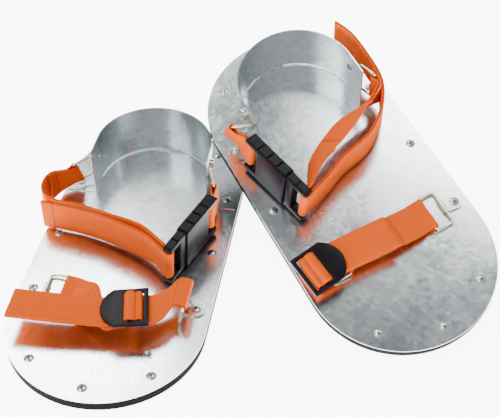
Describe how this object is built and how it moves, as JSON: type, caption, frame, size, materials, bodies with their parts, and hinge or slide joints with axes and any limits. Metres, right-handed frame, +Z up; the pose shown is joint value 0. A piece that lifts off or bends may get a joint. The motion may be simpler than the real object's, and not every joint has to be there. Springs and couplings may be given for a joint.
{
  "type": "strap-on sole plate pair",
  "caption": "Pair of strap-on overshoe plates: steel plate on a rubber sole, heel cup, buckled ankle strap and toe strap, one plate leaning on the other.",
  "frame": {"origin": "middle of the left sole's flat underside", "axes": "-Z is the left sole's outward normal, +Z up; -Y towards the left toe; +X towards the left plate's buckle side, where the right plate leans"},
  "size_m": [0.4362, 0.4141, 0.1654],
  "materials": {
    "plate_steel": "galvanised sheet with a fine spangle, half gloss",
    "rivet": "bright blind-rivet aluminium",
    "wire_and_clip": "nickel-plated steel, slightly yellow",
    "webbing": "orange woven polypropylene webbing, matte with a slight sheen",
    "buckle_plastic": "black moulded acetal",
    "sole_rubber": "black rubber"
  },
  "bodies": {
    "left_shoe": {"left_sole": "sole_rubber", "left_base_plate": "plate_steel", "left_heel_cup": "plate_steel", "left_plate_rivets": "rivet", "left_cup_rivets": "rivet", "left_swing_rivets": "rivet", "left_clip_rivets": "rivet", "left_toe_clip_outer": "wire_and_clip", "left_toe_clip_inner": "wire_and_clip", "left_toe_long_strap": "webbing", "left_toe_short_strap": "webbing"},
    "left_ankle_harness": {"left_chape_outer": "wire_and_clip", "left_chape_inner": "wire_and_clip", "left_buckle_socket": "buckle_plastic", "left_ankle_long_strap": "webbing", "left_ankle_short_strap": "webbing"},
    "left_plug": {"left_buckle_plug": "buckle_plastic"},
    "left_ankle_ring_outer_body": {"left_ankle_ring_outer": "wire_and_clip"},
    "left_ankle_ring_inner_body": {"left_ankle_ring_inner": "wire_and_clip"},
    "left_toe_ring_outer_body": {"left_toe_ring_outer": "wire_and_clip"},
    "left_toe_ring_inner_body": {"left_toe_ring_inner": "wire_and_clip"},
    "left_toe_lock": {"left_toe_buckle": "buckle_plastic"},
    "right_shoe": {"right_sole": "sole_rubber", "right_base_plate": "plate_steel", "right_heel_cup": "plate_steel", "right_plate_rivets": "rivet", "right_cup_rivets": "rivet", "right_swing_rivets": "rivet", "right_clip_rivets": "rivet", "right_toe_clip_outer": "wire_and_clip", "right_toe_clip_inner": "wire_and_clip", "right_toe_long_strap": "webbing", "right_toe_short_strap": "webbing"},
    "right_ankle_harness": {"right_chape_outer": "wire_and_clip", "right_chape_inner": "wire_and_clip", "right_buckle_socket": "buckle_plastic", "right_ankle_long_strap": "webbing", "right_ankle_short_strap": "webbing"},
    "right_plug": {"right_buckle_plug": "buckle_plastic"},
    "right_ankle_ring_outer_body": {"right_ankle_ring_outer": "wire_and_clip"},
    "right_ankle_ring_inner_body": {"right_ankle_ring_inner": "wire_and_clip"},
    "right_toe_ring_outer_body": {"right_toe_ring_outer": "wire_and_clip"},
    "right_toe_ring_inner_body": {"right_toe_ring_inner": "wire_and_clip"},
    "right_toe_lock": {"right_toe_buckle": "buckle_plastic"}
  },
  "joints": [
    {"name": "left_ankle_strap_swing", "type": "hinge", "parent": "left_shoe", "child": "left_ankle_harness", "pos_m": [0, 0.09, 0.044], "axis": [-1, 0, 0], "range_deg": [0, 20]},
    {"name": "left_plug_release", "type": "slide", "parent": "left_ankle_harness", "child": "left_plug", "axis": [-0.3291, -0.944, -0.0248], "range_m": [0, 0.028], "deforming": ["left_ankle_long_strap"]},
    {"name": "left_ankle_ring_outer_hinge", "type": "hinge", "parent": "left_ankle_harness", "child": "left_ankle_ring_outer_body", "pos_m": [-0.06015, 0.07932, 0.03853], "axis": [0, -0.456, 0.89], "range_deg": [-25, 25]},
    {"name": "left_toe_ring_outer_hinge", "type": "hinge", "parent": "left_shoe", "child": "left_toe_ring_outer_body", "pos_m": [-0.0635, -0.071, 0.01235], "axis": [0, -1, 0], "range_deg": [0, 110], "deforming": ["left_toe_long_strap"]},
    {"name": "left_ankle_ring_inner_hinge", "type": "hinge", "parent": "left_ankle_harness", "child": "left_ankle_ring_inner_body", "pos_m": [0.06015, 0.07888, 0.0395], "axis": [0, 0.375, -0.927], "range_deg": [-15, 15], "deforming": ["left_ankle_short_strap"]},
    {"name": "left_toe_ring_inner_hinge", "type": "hinge", "parent": "left_shoe", "child": "left_toe_ring_inner_body", "pos_m": [0.0635, -0.071, 0.01235], "axis": [0, 1, 0], "range_deg": [-60, 60], "deforming": ["left_toe_short_strap"]},
    {"name": "left_toe_buckle_tilt", "type": "hinge", "parent": "left_shoe", "child": "left_toe_lock", "pos_m": [0.023, -0.096, 0.032], "axis": [-0.2402, 0.9707, 0], "range_deg": [0, 35]},
    {"name": "right_shoe_lift", "type": "slide", "parent": "left_shoe", "child": "right_shoe", "axis": [0, 0, 1], "range_m": [0, 0.25]},
    {"name": "right_ankle_strap_swing", "type": "hinge", "parent": "right_shoe", "child": "right_ankle_harness", "pos_m": [0.13706, 0.12777, 0.11871], "axis": [-0.7987, -0.5636, -0.2108], "range_deg": [0, 30]},
    {"name": "right_plug_release", "type": "slide", "parent": "right_ankle_harness", "child": "right_plug", "axis": [0.7615, -0.6107, -0.217], "range_m": [0, 0.028], "deforming": ["right_ankle_long_strap"]},
    {"name": "right_ankle_ring_outer_hinge", "type": "hinge", "parent": "right_ankle_harness", "child": "right_ankle_ring_outer_body", "pos_m": [0.19232, 0.1526, 0.1283], "axis": [0.0145, 0.3322, -0.9431], "range_deg": [-3, 20]},
    {"name": "right_toe_ring_outer_hinge", "type": "hinge", "parent": "right_shoe", "child": "right_toe_ring_outer_body", "pos_m": [0.28509, 0.05231, 0.06085], "axis": [-0.6016, 0.7563, 0.2571], "range_deg": [0, 110], "deforming": ["right_toe_long_strap"]},
    {"name": "right_ankle_ring_inner_hinge", "type": "hinge", "parent": "right_ankle_harness", "child": "right_ankle_ring_inner_body", "pos_m": [0.09553, 0.08761, 0.09812], "axis": [0.2614, -0.6405, 0.7221], "range_deg": [-20, 40], "deforming": ["right_ankle_short_strap"]},
    {"name": "right_toe_ring_inner_hinge", "type": "hinge", "parent": "right_shoe", "child": "right_toe_ring_inner_body", "pos_m": [0.18366, -0.01927, 0.03407], "axis": [0.6016, -0.7563, -0.2571], "range_deg": [0, 8], "deforming": ["right_toe_short_strap"]},
    {"name": "right_toe_buckle_tilt", "type": "hinge", "parent": "right_shoe", "child": "right_toe_lock", "pos_m": [0.17828, -0.03218, 0.04392], "axis": [0.6788, -0.6958, -0.2346], "range_deg": [0, 35]}
  ]
}
